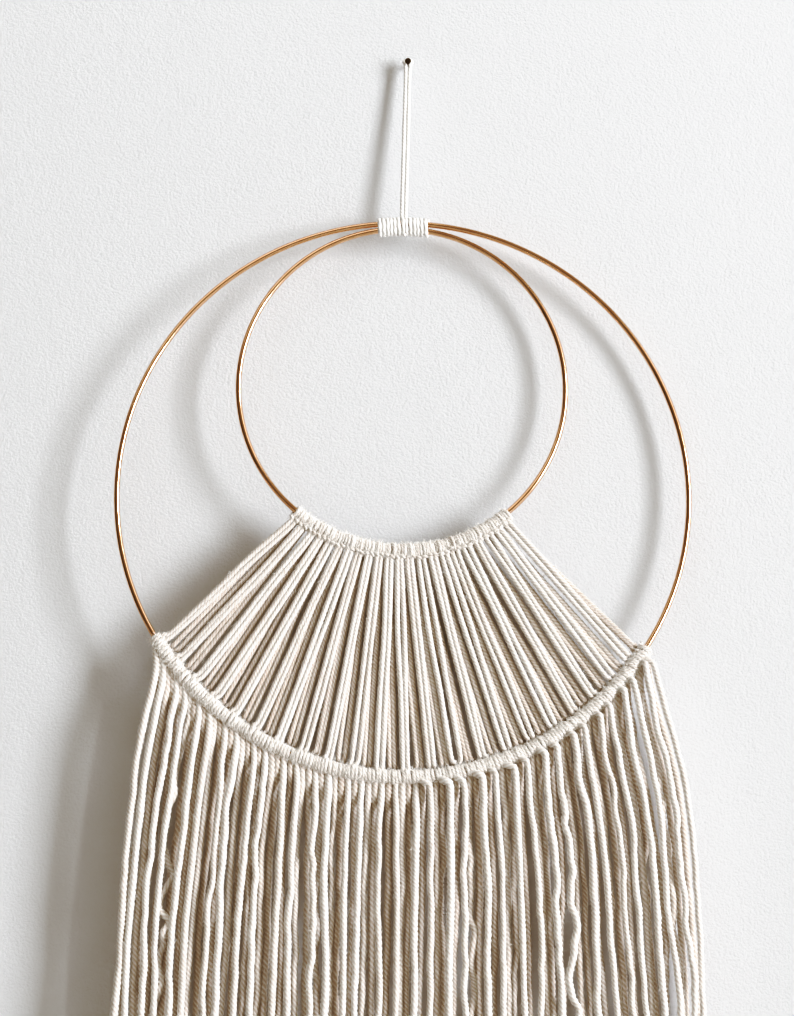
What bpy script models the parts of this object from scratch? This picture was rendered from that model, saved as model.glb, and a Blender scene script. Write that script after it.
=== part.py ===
"""A macrame wall hanging on two metal hoops, with the nail that it hangs from.

Metres, +Z up. The origin is where the nail leaves the wall, the wall is the plane Y = 0 and the
front faces -Y. An angle on a hoop is measured from straight down, and grows towards +X.
"""

import math
from collections import namedtuple

import bmesh
import bpy
import numpy as np
from mathutils import Matrix, Vector

MM = 0.001
GAP = 0.3 * MM  # left between pieces that touch

# Nail and hanging loop
NAIL_OUT = 10 * MM
NAIL_SHANK = 1.6 * MM
NAIL_HEAD = 3.4 * MM
NAIL_HEAD_THICK = 1.0 * MM
NAIL_FLAT = 0.75  # the flat middle of the head, as a share of its width
NAIL_BEVEL = 0.35  # the slope at the head's rim, as a share of its thickness
NAIL_UNDERCUT = 0.2  # the slope below it
NAIL_SIDES = 16
CORD = 2.0 * MM
CORD_ON_NAIL = 5.5 * MM  # from the wall
CORD_MEETS = 12 * MM  # below the nail, where the two runs come together
CORD_TURN_STEPS = 8

# Hoops
WIRE = 3.0 * MM
WIRE_SIDES = 8
HOOP_TOP_Y = -12 * MM
HOOP_TOP_Z = -94.7 * MM

# Top binding
BINDING_X = -1.5 * MM
BINDING_LONG = 28.5 * MM
BINDING_TURNS = 13
BINDING_THICK = 1.6 * MM
BINDING_RIDGE = 0.45 * MM
BINDING_END_STEPS = 5  # faces round each end of the oval section
BINDING_BORE_STEPS = 4

# Web: knots on the small hoop, hitches on the large hoop and the strands between them
STRANDS = 88
KNOTS_FROM, KNOTS_TO = math.radians(-39.5), math.radians(39.5)
HITCHES_FROM, HITCHES_TO = math.radians(-58.3), math.radians(57.7)
KNOT_DRIFT = 0.05  # how far the right half's knots crowd to the left, as a share of the row
BORE = WIRE + 2 * 0.65 * MM
BAR_RIDGE = 7.0 * MM
BAR_VALLEY = 6.2 * MM
# Corners round a bar, in degrees from straight outward and growing towards the front. The narrow
# face between the two rows of strands is below the knots and above the hitches.
KNOT_CORNERS = (12, 55, 105, 155, 205, 255, 305, 348)
HITCH_CORNERS = (25, 75, 125, 168, 192, 235, 285, 335)
KNOT_FRONT_FACE, KNOT_BACK_FACE = 0, 6
HITCH_FRONT_FACE, HITCH_BACK_FACE = 2, 4
WEB_WIDE = 2.35 * MM
WEB_DEEP = 2.2 * MM

# Fringe. Its roots lie farther out than the hitches, so they take a smaller angle to hang below them.
FRINGE_FROM, FRINGE_TO = math.radians(-54.5), math.radians(56.5)
STRIP_WIDE = 2.8 * MM
STRIP_THICK = 2.2 * MM
FRINGE_WIDE = 2.9 * MM
FRINGE_DEEP = 2.7 * MM
FRINGE_END_Z = -698 * MM
FRINGE_CUT_UNEVEN = 3 * MM
FRINGE_POINTS = 7
FRINGE_SEED = 11
FRINGE_SPACING = 3.7 * MM  # the least between neighbours in one layer
SPACING_PASSES = 80
LAYER_DEPTH = 4.3 * MM
LAYERS = "FBFMB"  # the layer of each strand in turn: front, back or middle
START_OUT = 2.6 * MM  # where a strand hangs free: this far out from the strip
START_DOWN = 3.5 * MM  # and this far lower
ELBOW_OUT = 0.4 * MM  # where a strand of the front or back layer turns down out of the strip
ELBOW_DOWN = 0.6 * MM
ELBOW_AHEAD = 3.3 * MM
ELBOW_DEEP = 2.3 * MM
ELBOW_TURN = math.radians(50)
SWAY_WIDE = 0.9 * MM  # the waves of each strand
SWAY_DEEP = 0.45 * MM
SWAY_TURNS = (1.2, 3.2)
DRIFT = 1.2 * MM  # the lean that neighbours share, so that they gather and part
DRIFT_WAVES = 3
DRIFT_TURNS = (3, 9)
EDGE_POWER = 1.7  # how fast the spread fades from the outermost strands inwards

# How far the outermost strands spread sideways on their way down
Spread = namedtuple("Spread", "below left right")
SPREAD = (
    Spread(0 * MM, 0 * MM, 0 * MM),
    Spread(28 * MM, 6 * MM, 12 * MM),
    Spread(105 * MM, 14 * MM, 19 * MM),
    Spread(160 * MM, 16.5 * MM, 25 * MM),
    Spread(190 * MM, 17.5 * MM, 24 * MM),
    Spread(370 * MM, 18 * MM, 22 * MM),
)

# Both hoops lean back by as much, their feet farther from the wall. The web pulls the small one a
# little taller than wide.
LEAN = math.radians(1.7)
Hoop = namedtuple("Hoop", "name outside x top_z tall steps")
LARGE = Hoop("large_hoop", 304.8 * MM, 0.0, HOOP_TOP_Z, 1.0, 96)
SMALL = Hoop("small_hoop", 177.2 * MM, -1.3 * MM, HOOP_TOP_Z - WIRE - GAP, 1.023, 72)

Finish = namedtuple("Finish", "name colour roughness metallic")
GOLD = Finish("gold plated steel", (0.72, 0.44, 0.22), 0.24, 1.0)
YARN = Finish("ivory yarn", (0.82, 0.77, 0.69), 0.95, 0.0)
WHITE_YARN = Finish("white yarn", (0.88, 0.86, 0.81), 0.95, 0.0)
STEEL = Finish("blackened steel", (0.03, 0.027, 0.025), 0.45, 0.8)


def material(finish):
    made = bpy.data.materials.new(finish.name)
    made.use_nodes = True
    shader = made.node_tree.nodes["Principled BSDF"]
    shader.inputs["Base Color"].default_value = (*finish.colour, 1.0)
    shader.inputs["Roughness"].default_value = finish.roughness
    shader.inputs["Metallic"].default_value = finish.metallic
    return made


def add_object(name, data, finish):
    """Puts a mesh or a curve into the part's collection, under the empty on the wall."""
    made = bpy.data.objects.new(name, data)
    data.materials.append(material(finish))
    bpy.data.collections["macrame_wall_hanging"].objects.link(made)
    made.parent = bpy.data.objects["wall_point"]
    return made


def finish_mesh(bm, name, finish):
    bmesh.ops.recalc_face_normals(bm, faces=bm.faces)
    mesh = bpy.data.meshes.new(name)
    bm.to_mesh(mesh)
    bm.free()
    made = add_object(name, mesh, finish)
    mesh.shade_smooth()
    mesh.set_sharp_from_angle(angle=math.radians(50))
    return made


def between(low, high, share):
    return low + (high - low) * share


def wire_radius(hoop):
    """The radius of the middle of the hoop's wire."""
    return (hoop.outside - WIRE) / 2


def hoop_matrix(hoop):
    """Turns the upright plane of a hoop's drawing to its lean, with the top of the wire in place."""
    lean = Matrix.Rotation(-LEAN, 4, "X") @ Matrix.Diagonal((1, 1, hoop.tall, 1))
    top = Vector((hoop.x, HOOP_TOP_Y, hoop.top_z))
    return Matrix.Translation(top - lean @ Vector((0, 0, wire_radius(hoop)))) @ lean


def on_hoop(hoop, angle, out=0.0, front=0.0):
    """A point beside the wire: out is away from the hoop's centre, front is towards the room."""
    radius = wire_radius(hoop) + out
    return hoop_matrix(hoop) @ Vector(
        (radius * math.sin(angle), -front, -radius * math.cos(angle))
    )


def tangent(hoop, angle):
    along = Vector((math.cos(angle), 0, math.sin(angle)))
    return hoop_matrix(hoop).to_3x3() @ along


def knot_angle(share):
    crowded = share - KNOT_DRIFT * math.sin(math.pi * share) ** 2 * share
    return between(KNOTS_FROM, KNOTS_TO, crowded)


def hitch_angle(share):
    return between(HITCHES_FROM, HITCHES_TO, share)


def fringe_angle(share):
    return between(FRINGE_FROM, FRINGE_TO, share)


def skin(bm, first, second):
    """Faces between two closed rings of corners."""
    count = len(first)
    return [
        bm.faces.new((first[i], first[(i + 1) % count], second[(i + 1) % count], second[i]))
        for i in range(count)
    ]


def tube(bm, rows):
    """Skins a list of rings of points. Returns the rings of corners and the faces of each step."""
    rings = [[bm.verts.new(point) for point in row] for row in rows]
    return rings, [skin(bm, first, second) for first, second in zip(rings, rings[1:])]


def close_sleeve(bm, outer, inner):
    skin(bm, outer[0], inner[0])
    skin(bm, outer[-1], inner[-1])


def bar(bm, hoop, angle_at, corners, steps):
    """A ridged sleeve round a hoop's wire, open at both ends. Returns its outer faces by step."""

    def ring(share, diameter):
        return [
            on_hoop(
                hoop,
                angle_at(share),
                diameter / 2 * math.cos(math.radians(corner)),
                diameter / 2 * math.sin(math.radians(corner)),
            )
            for corner in corners
        ]

    widths = [BAR_RIDGE if step % 2 else BAR_VALLEY for step in range(steps + 1)]
    outer, faces = tube(bm, [ring(i / steps, wide) for i, wide in enumerate(widths)])
    bore_steps = math.ceil(hoop.steps * (angle_at(1) - angle_at(0)) / math.tau)
    inner, _ = tube(bm, [ring(i / bore_steps, BORE) for i in range(bore_steps + 1)])
    close_sleeve(bm, outer, inner)
    return faces


def section(centre, across, ahead, wide, deep, signs):
    """Four corners of a strand's section. across runs along the bar and ahead to the room."""
    return [
        centre + across * (wide / 2 * side) + ahead * (deep / 2 * depth)
        for side, depth in signs
    ]


def strand(bm, root, sections, target=None):
    """Draws a four-sided strand out of a face of a bar, to its cut end or into another face."""
    rings = [list(root.verts)]
    rings += [[bm.verts.new(point) for point in corners] for corners in sections]
    bm.faces.remove(root)
    if target:
        # A face above the hitches has its corners in the mirrored order.
        corners = list(target.verts)
        rings.append([corners[1], corners[0], corners[3], corners[2]])
        bm.faces.remove(target)
    for first, second in zip(rings, rings[1:]):
        skin(bm, first, second)
    if not target:
        bm.faces.new(rings[-1])


def web_strand(bm, root, target, knot, hitch):
    start, end = root.calc_center_median(), target.calc_center_median()
    across = (tangent(SMALL, knot) + tangent(LARGE, hitch)).normalized()
    ahead = (end - start).cross(across).normalized()
    if ahead.y > 0:
        ahead.negate()
    signs = ((-1, -1), (-1, 1), (1, 1), (1, -1))
    middle = section((start + end) / 2, across, ahead, WEB_WIDE, WEB_DEEP, signs)
    strand(bm, root, [middle], target)


def knotted_web():
    """Knots on the small hoop, strands in front and back pairs, and hitches on the large hoop."""
    bm = bmesh.new()
    knots = bar(bm, SMALL, knot_angle, KNOT_CORNERS, STRANDS // 2)
    hitches = bar(bm, LARGE, hitch_angle, HITCH_CORNERS, STRANDS)
    for pair in range(STRANDS // 4):
        for side in (0, 1):
            knot = 2 * pair + side
            for hitch, knot_face, hitch_face in (
                (4 * pair + side, KNOT_FRONT_FACE, HITCH_FRONT_FACE),
                (4 * pair + 2 + side, KNOT_BACK_FACE, HITCH_BACK_FACE),
            ):
                web_strand(
                    bm,
                    knots[knot][knot_face],
                    hitches[hitch][hitch_face],
                    knot_angle((2 * knot + 1) / STRANDS),
                    hitch_angle((hitch + 0.5) / STRANDS),
                )
    finish_mesh(bm, "knotted_web", YARN)


def strip_out():
    """How far the middle of the fringe's strip is from the middle of the wire."""
    flat_below_bar = BAR_RIDGE / 2 * math.cos(math.radians(HITCH_CORNERS[0]))
    return flat_below_bar + GAP + STRIP_THICK / 2


def layer_of(index):
    """1 for a strand in front, 0 in the middle and -1 at the back."""
    return {"F": 1, "M": 0, "B": -1}[LAYERS[index % len(LAYERS)]]


def keep_apart(x):
    """Pushes neighbours in one layer apart, a little at a time, at every height."""
    for _ in range(SPACING_PASSES):
        short = np.maximum(FRINGE_SPACING - np.diff(x, axis=0), 0) / 2
        x[:-1] -= short
        x[1:] += short


def fringe_routes():
    """The points down the middle of each strand, from just below its root to its cut end."""
    rng = np.random.default_rng(FRINGE_SEED)
    down = np.linspace(0, 1, FRINGE_POINTS)
    routes = np.zeros((STRANDS, FRINGE_POINTS, 3))
    drift_turns = rng.uniform(*DRIFT_TURNS, DRIFT_WAVES)
    drift_starts = rng.uniform(0, math.tau, DRIFT_WAVES)
    for i in range(STRANDS):
        share = (i + 0.5) / STRANDS
        angle = fringe_angle(share)
        root = on_hoop(LARGE, angle, strip_out() + START_OUT) - Vector((0, 0, START_DOWN))
        end_z = FRINGE_END_Z + rng.normal(0, FRINGE_CUT_UNEVEN)
        z = root.z + (end_z - root.z) * down
        below = root.z - z
        column = "left" if angle < 0 else "right"
        spread = np.interp(below, [s.below for s in SPREAD], [getattr(s, column) for s in SPREAD])
        edge = math.sin(angle) / math.sin(FRINGE_TO)
        waves = rng.uniform(*SWAY_TURNS, 2)
        starts = rng.uniform(0, math.tau, 3)
        sway = np.sin(math.tau * waves[0] * down + starts[0]) - math.sin(starts[0])
        sway += 0.5 * (np.sin(math.tau * 2 * waves[1] * down + starts[1]) - math.sin(starts[1]))
        drift = sum(
            math.sin(turns * math.tau * share + start)
            for turns, start in zip(drift_turns, drift_starts)
        )
        routes[i, :, 0] = root.x + spread * abs(edge) ** EDGE_POWER * np.sign(edge)
        routes[i, :, 0] += SWAY_WIDE * np.sqrt(down) * sway + DRIFT * drift * down
        routes[i, :, 1] = root.y - layer_of(i) * LAYER_DEPTH
        routes[i, :, 1] += SWAY_DEEP * np.sin(math.tau * waves[1] * down + starts[2]) * down
        routes[i, :, 2] = z
    for layer in (1, 0, -1):
        members = [i for i in range(STRANDS) if layer_of(i) == layer]
        x = routes[members, 1:, 0]
        keep_apart(x)
        routes[members, 1:, 0] = x
    return routes


def fringe():
    """All the strands below the large hoop, their roots in a narrow strip under the hitches."""
    bm = bmesh.new()
    half_thick, half_wide = STRIP_THICK / 2, STRIP_WIDE / 2
    corners = (
        (-half_thick, half_wide),
        (half_thick, half_wide),
        (half_thick, -half_wide),
        (-half_thick, -half_wide),
    )
    rows = [
        [
            on_hoop(LARGE, fringe_angle(i / STRANDS), strip_out() + out, front)
            for out, front in corners
        ]
        for i in range(STRANDS + 1)
    ]
    rings, faces = tube(bm, rows)
    bm.faces.new(rings[0])
    bm.faces.new(rings[-1])
    signs = ((-1, 1), (-1, -1), (1, -1), (1, 1))
    room, across = Vector((0, -1, 0)), Vector((1, 0, 0))
    for i, route in enumerate(fringe_routes()):
        layer = layer_of(i)
        sections = []
        if layer:
            angle = fringe_angle((i + 0.5) / STRANDS)
            turn = ELBOW_TURN * layer
            elbow = on_hoop(LARGE, angle, strip_out() + ELBOW_OUT, layer * ELBOW_AHEAD)
            slanted = (tangent(LARGE, angle) + across).normalized()
            ahead = Vector((0, -math.cos(turn), math.sin(turn)))
            elbow.z -= ELBOW_DOWN
            sections.append(section(elbow, slanted, ahead, FRINGE_WIDE, ELBOW_DEEP, signs))
        for point in route:
            sections.append(
                section(Vector(point), across, room, FRINGE_WIDE, FRINGE_DEEP, signs)
            )
        strand(bm, faces[i][1 - layer], sections)
    finish_mesh(bm, "fringe", YARN)


def hoop(shape):
    bpy.ops.mesh.primitive_torus_add(
        major_segments=shape.steps,
        minor_segments=WIRE_SIDES,
        major_radius=wire_radius(shape),
        minor_radius=WIRE / 2,
    )
    drawn = bpy.context.object
    mesh = drawn.data
    bpy.data.objects.remove(drawn)
    made = add_object(shape.name, mesh, GOLD)
    made.matrix_basis = hoop_matrix(shape) @ Matrix.Rotation(math.radians(90), 4, "X")
    mesh.shade_smooth()


def top_binding():
    """Turns of yarn round both wires: an oval sleeve, open at both ends, with a ridge a turn."""
    bm = bmesh.new()
    half_apart = (WIRE + GAP) / 2
    mean_radius = (wire_radius(LARGE) + wire_radius(SMALL)) / 2
    middle_z = HOOP_TOP_Z - half_apart
    bore = BORE / 2

    def ring(x, radius):
        drop = mean_radius - math.sqrt(mean_radius**2 - x**2)
        points = []
        for end in (1, -1):
            for step in range(BINDING_END_STEPS + 1):
                turn = math.pi * step / BINDING_END_STEPS
                up = end * (half_apart + radius * math.sin(turn))
                ahead = end * radius * math.cos(turn)
                points.append(Vector((x, HOOP_TOP_Y - ahead, middle_z - drop + up)))
        return points

    steps = 2 * BINDING_TURNS
    outer_rows = []
    for step in range(steps + 1):
        radius = bore + BINDING_THICK - (0 if step % 2 else BINDING_RIDGE)
        outer_rows.append(ring(BINDING_X + BINDING_LONG * (step / steps - 0.5), radius))
    bore_rows = []
    for step in range(BINDING_BORE_STEPS + 1):
        along = step / BINDING_BORE_STEPS - 0.5
        bore_rows.append(ring(BINDING_X + BINDING_LONG * along, bore))
    outer, _ = tube(bm, outer_rows)
    inner, _ = tube(bm, bore_rows)
    close_sleeve(bm, outer, inner)
    finish_mesh(bm, "top_binding", WHITE_YARN)


def hanging_loop():
    """The cord from the binding over the nail and back, its two runs side by side."""
    turn_radius = NAIL_SHANK / 2 + GAP + CORD / 2
    half_apart = (CORD + GAP) / 2
    binding_top = HOOP_TOP_Z + BORE / 2 + BINDING_THICK + GAP
    foot = Vector((BINDING_X, HOOP_TOP_Y, binding_top))
    meet = Vector((0, -CORD_ON_NAIL, 0)).lerp(foot, CORD_MEETS / -foot.z)
    half_way = meet.lerp(foot, 0.5)

    def side(sign):
        apart = Vector((sign * half_apart, 0, 0))
        return [foot + apart, half_way + apart, meet + apart]

    over = []
    for step in range(CORD_TURN_STEPS + 1):
        turn = math.pi * (1 - step / CORD_TURN_STEPS)
        over.append(
            Vector((turn_radius * math.cos(turn), -CORD_ON_NAIL, turn_radius * math.sin(turn)))
        )
    points = side(-1) + over + side(1)[::-1]
    curve = bpy.data.curves.new("hanging_loop", "CURVE")
    curve.dimensions = "3D"
    curve.bevel_depth = CORD / 2
    curve.bevel_resolution = 2
    curve.use_fill_caps = True
    spline = curve.splines.new("POLY")
    spline.points.add(len(points) - 1)
    for knot, point in zip(spline.points, points):
        knot.co = (*point, 1)
    spline.use_smooth = True
    add_object("hanging_loop", curve, WHITE_YARN)


def wall_nail():
    """A turned nail: the profile runs from the head's middle down its outside to the wall."""
    shank, head = NAIL_SHANK / 2, NAIL_HEAD / 2
    under_head = NAIL_OUT - NAIL_HEAD_THICK
    profile = (
        (0, NAIL_OUT),
        (head * NAIL_FLAT, NAIL_OUT),
        (head, NAIL_OUT - NAIL_HEAD_THICK * NAIL_BEVEL),
        (head, under_head + NAIL_HEAD_THICK * NAIL_UNDERCUT),
        (shank, under_head),
        (shank, 0),
        (0, 0),
    )
    mesh = bpy.data.meshes.new("wall_nail")
    mesh.from_pydata(
        [(radius, 0, along) for radius, along in profile],
        [(i, i + 1) for i in range(len(profile) - 1)],
        [],
    )
    made = add_object("wall_nail", mesh, STEEL)
    made.rotation_euler.x = math.radians(90)
    turned = made.modifiers.new("turned", "SCREW")
    turned.steps = NAIL_SIDES
    turned.render_steps = NAIL_SIDES
    turned.use_merge_vertices = True
    turned.merge_threshold = 0.00001


def main():
    for old in list(bpy.data.objects):
        bpy.data.objects.remove(old)
    collection = bpy.data.collections.new("macrame_wall_hanging")
    bpy.context.scene.collection.children.link(collection)
    wall_point = bpy.data.objects.new("wall_point", None)
    wall_point.empty_display_size = 10 * MM
    collection.objects.link(wall_point)
    wall_nail()
    hanging_loop()
    top_binding()
    hoop(LARGE)
    hoop(SMALL)
    knotted_web()
    fringe()


main()
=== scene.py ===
import math

import bmesh
import bpy
import numpy as np
from mathutils import Matrix, Vector


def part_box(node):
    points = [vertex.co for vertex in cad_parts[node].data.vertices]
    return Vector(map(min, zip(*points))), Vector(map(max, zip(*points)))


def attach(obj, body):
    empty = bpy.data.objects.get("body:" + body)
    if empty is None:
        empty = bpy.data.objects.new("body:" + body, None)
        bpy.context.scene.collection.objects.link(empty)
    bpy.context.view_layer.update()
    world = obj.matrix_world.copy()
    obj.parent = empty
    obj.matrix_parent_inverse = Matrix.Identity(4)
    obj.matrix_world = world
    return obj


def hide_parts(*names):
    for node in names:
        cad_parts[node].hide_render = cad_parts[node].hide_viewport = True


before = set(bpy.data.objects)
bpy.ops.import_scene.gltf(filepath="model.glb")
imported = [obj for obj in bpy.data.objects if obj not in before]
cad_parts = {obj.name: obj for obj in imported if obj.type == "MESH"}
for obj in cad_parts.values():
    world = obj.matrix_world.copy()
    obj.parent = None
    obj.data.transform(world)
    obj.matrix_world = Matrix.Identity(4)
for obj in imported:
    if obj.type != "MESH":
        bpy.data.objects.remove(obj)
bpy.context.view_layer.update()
print("frame:", len(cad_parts), "nodes")

# All sizes below are in millimetres, and turn to metres only as a mesh is made.
mm = 0.001
gap = 0.3  # left between solids of the part that lie against each other


def linear(hexColour):
    # sRGB hex to the linear colour that a shader wants
    channels = [int(hexColour[i : i + 2], 16) / 255 for i in (1, 3, 5)]
    return (*[c / 12.92 if c < 0.04045 else ((c + 0.055) / 1.055) ** 2.4 for c in channels], 1.0)


def between(low, high, share):
    return low + (high - low) * share


# Node helper: settings name either the node's own fields or its sockets
def addNode(tree, kind, settings=None, links=None):
    node = tree.nodes.new(kind)
    for name, value in (settings or {}).items():
        if isinstance(name, str) and hasattr(node, name):
            setattr(node, name, value)
        else:
            node.inputs[name].default_value = value
    for name, source in (links or {}).items():
        tree.links.new(source, node.inputs[name])
    return node


def startMaterial(name, settings):
    made = bpy.data.materials.new(name)
    made.use_nodes = True
    tree = made.node_tree
    shader = tree.nodes["Principled BSDF"]
    for socket, value in settings.items():
        shader.inputs[socket].default_value = value
    return made, tree, shader


def mixColours(tree, first, second, factor):
    return addNode(
        tree,
        "ShaderNodeMix",
        {"data_type": "RGBA", 6: linear(first), 7: linear(second)},
        {0: factor},
    ).outputs[2]


# Yarn is spun from many fine fibres and then plied, so it is quite matt. The plies show as slanting
# ridges, and shade is painted into the colour of the grooves and of the strands at the back. Loose
# fibres catch the light along the edge.
def yarnMaterial(name, look):
    made, tree, shader = startMaterial(
        name,
        {"Roughness": 0.92, "Specular IOR Level": 0.2, "Sheen Weight": 0.4, "Sheen Roughness": 0.6},
    )
    place = addNode(tree, "ShaderNodeAttribute", {"attribute_name": "yarnPlace"})
    tone = addNode(tree, "ShaderNodeAttribute", {"attribute_name": "yarnTone"})
    tones = addNode(tree, "ShaderNodeSeparateXYZ", links={0: tone.outputs["Vector"]})
    # A fibre is 0.02 mm thick, which no render shows, so bundles of fibres are drawn instead
    stretch = (1 / look["bundleLong"], 1 / look["bundleWide"], 1 / look["bundleWide"])
    bundles = addNode(
        tree,
        "ShaderNodeVectorMath",
        {"operation": "MULTIPLY", 1: stretch},
        {0: place.outputs["Vector"]},
    )
    fibres = addNode(
        tree,
        "ShaderNodeTexNoise",
        {"Scale": 1.0, "Detail": 3.0, "Roughness": 0.7},
        {"Vector": bundles.outputs["Vector"]},
    )
    uneven = addNode(
        tree,
        "ShaderNodeVectorMath",
        {"operation": "SCALE", "Scale": 1 / look["slubLong"]},
        {0: place.outputs["Vector"]},
    )
    slubs = addNode(
        tree, "ShaderNodeTexNoise", {"Scale": 1.0, "Detail": 2.0}, {"Vector": uneven.outputs["Vector"]}
    )
    # the first tone is 1 on a ply and 0 in a groove, where shade is painted into the colour; the second
    # is a random number of the whole strand; the third is 1 on the strands at the back, which get painted
    # shade that makes them browner
    sources = {
        "paintedGrooveShade": tones.outputs["X"],
        "slubs": slubs.outputs["Fac"],
        "strand": tones.outputs["Y"],
        "paintedBackShade": tones.outputs["Z"],
    }
    light = fibres.outputs["Fac"]
    for part, source in sources.items():
        light = addNode(
            tree,
            "ShaderNodeMath",
            {"operation": "MULTIPLY_ADD", 1: look[part]},
            {0: source, 2: light},
        ).outputs[0]
    share = addNode(
        tree,
        "ShaderNodeMapRange",
        {"From Min": look["darkAt"], "From Max": look["lightAt"]},
        {"Value": light},
    )
    colour = mixColours(tree, look["shade"], look["colour"], share.outputs["Result"])
    tree.links.new(colour, shader.inputs["Base Color"])
    bump = addNode(
        tree,
        "ShaderNodeBump",
        {"Strength": 0.6, "Distance": look["bundleHigh"] * mm},
        {"Height": fibres.outputs["Fac"]},
    )
    tree.links.new(bump.outputs["Normal"], shader.inputs["Normal"])
    return made


yarnLook = {
    "colour": "#fbf9f6",
    "shade": "#c3b1a2",
    "bundleLong": 2.2,
    "bundleWide": 0.28,
    "bundleHigh": 0.25,
    "slubLong": 6.0,
    # how much each of these lightens the yarn, and the sums at which it is darkest and lightest; the
    # plies' share leaves painted shade in the grooves, the back strands' share is painted shade, and the
    # slubs and strand are the yarn's own uneven tone
    "paintedGrooveShade": 0.75,
    "slubs": 0.5,
    "strand": 0.25,
    "paintedBackShade": -0.35,
    "darkAt": 0.35,
    "lightAt": 1.6,
}
yarn = yarnMaterial("ivory wool blend, spun and plied", yarnLook)
# the white cotton gets the same painted shade in its grooves
whiteLook = dict(yarnLook, colour="#fcfbf9", shade="#dfdad2", bundleWide=0.2)
whiteYarn = yarnMaterial("white cotton, spun and twisted", whiteLook)


# Steel wire, drawn, bent to a ring and plated with brass: bright, with streaks along the wire that
# the drawing die left and a faint cloudiness where it has been handled.
def goldMaterial():
    look = {
        "metal": "#efcfb6",
        "worn": "#d8ac8e",
        "streakWide": 0.12,
        "streakLong": 14.0,
        "streakHigh": 0.02,
        "smudge": 9.0,
        "smudgeFrom": 0.3,  # of the noise, which seldom leaves 0.3 to 0.7
        "smudgeTo": 0.7,
        "roughClean": 0.09,
        "roughHandled": 0.18,
    }
    made, tree, shader = startMaterial("brass plated steel wire, drawn", {"Metallic": 1.0})
    place = addNode(tree, "ShaderNodeAttribute", {"attribute_name": "wirePlace"})
    stretch = (1 / look["streakLong"], 1 / look["streakWide"], 1 / look["streakWide"])
    drawn = addNode(
        tree,
        "ShaderNodeVectorMath",
        {"operation": "MULTIPLY", 1: stretch},
        {0: place.outputs["Vector"]},
    )
    streaks = addNode(
        tree, "ShaderNodeTexNoise", {"Scale": 1.0, "Detail": 4.0}, {"Vector": drawn.outputs["Vector"]}
    )
    handled = addNode(
        tree,
        "ShaderNodeVectorMath",
        {"operation": "SCALE", "Scale": 1 / look["smudge"]},
        {0: place.outputs["Vector"]},
    )
    smudges = addNode(
        tree, "ShaderNodeTexNoise", {"Scale": 1.0, "Detail": 3.0}, {"Vector": handled.outputs["Vector"]}
    )
    colour = mixColours(tree, look["worn"], look["metal"], smudges.outputs["Fac"])
    tree.links.new(colour, shader.inputs["Base Color"])
    rough = addNode(
        tree,
        "ShaderNodeMapRange",
        {
            "From Min": look["smudgeFrom"],
            "From Max": look["smudgeTo"],
            "To Min": look["roughClean"],
            "To Max": look["roughHandled"],
        },
        {"Value": smudges.outputs["Fac"]},
    )
    tree.links.new(rough.outputs["Result"], shader.inputs["Roughness"])
    bump = addNode(
        tree,
        "ShaderNodeBump",
        {"Strength": 0.25, "Distance": look["streakHigh"] * mm},
        {"Height": streaks.outputs["Fac"]},
    )
    tree.links.new(bump.outputs["Normal"], shader.inputs["Normal"])
    return made


# Steel, forged and blackened with oil: nearly black, with a dull shine on its worn high spots.
def nailMaterial():
    look = {
        "black": "#171412",
        "worn": "#4a433d",
        "grain": 0.5,
        "grainHigh": 0.05,
        "roughLow": 0.25,
        "roughHigh": 0.55,
    }
    made, tree, shader = startMaterial("blackened steel, forged", {"Metallic": 0.8})
    place = addNode(tree, "ShaderNodeTexCoord")
    grain = addNode(
        tree,
        "ShaderNodeTexNoise",
        {"Scale": 1 / (look["grain"] * mm), "Detail": 4.0},
        {"Vector": place.outputs["Object"]},
    )
    colour = mixColours(tree, look["black"], look["worn"], grain.outputs["Fac"])
    tree.links.new(colour, shader.inputs["Base Color"])
    rough = addNode(
        tree,
        "ShaderNodeMapRange",
        {"To Min": look["roughLow"], "To Max": look["roughHigh"]},
        {"Value": grain.outputs["Fac"]},
    )
    tree.links.new(rough.outputs["Result"], shader.inputs["Roughness"])
    bump = addNode(
        tree,
        "ShaderNodeBump",
        {"Strength": 0.4, "Distance": look["grainHigh"] * mm},
        {"Height": grain.outputs["Fac"]},
    )
    tree.links.new(bump.outputs["Normal"], shader.inputs["Normal"])
    return made


gold = goldMaterial()
blackSteel = nailMaterial()
print("materials ready")


# Mesh and path helpers
def meshFrom(name, points, faces, **fields):
    # fields are the vectors at each point that the material reads
    mesh = bpy.data.meshes.new(name)
    mesh.from_pydata(points * mm, [], faces)
    for field, vectors in fields.items():
        mesh.attributes.new(field, "FLOAT_VECTOR", "POINT").data.foreach_set("vector", vectors.ravel())
    return mesh


def addPiece(name, mesh, material, node):
    mesh.shade_smooth()
    mesh.materials.append(material)
    piece = bpy.data.objects.new(name, mesh)
    bpy.context.scene.collection.objects.link(piece)
    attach(piece, "root")
    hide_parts(node)


def smoothPath(points, step, finePerSpan=14):
    # a smooth curve through the points, in equal steps
    points = np.asarray(points, dtype=float)
    ends = 2 * points[0] - points[1], 2 * points[-1] - points[-2]
    padded = np.vstack([ends[0], points, ends[1]])
    t = np.linspace(0, 1, finePerSpan, endpoint=False)[:, None]
    fine = [
        (2 * b + (c - a) * t + (2 * a - 5 * b + 4 * c - d) * t**2 + (3 * b - a - 3 * c + d) * t**3) / 2
        for a, b, c, d in zip(padded, padded[1:], padded[2:], padded[3:])
    ]
    fine = np.vstack([*fine, points[-1:]])
    along = np.concatenate([[0], np.cumsum(np.linalg.norm(np.diff(fine, axis=0), axis=1))])
    at = np.linspace(0, along[-1], max(3, round(along[-1] / step)) + 1)
    return np.stack([np.interp(at, along, fine[:, axis]) for axis in range(3)], 1)


def unit(vectors):
    return vectors / np.linalg.norm(vectors, axis=-1, keepdims=True)


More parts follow.
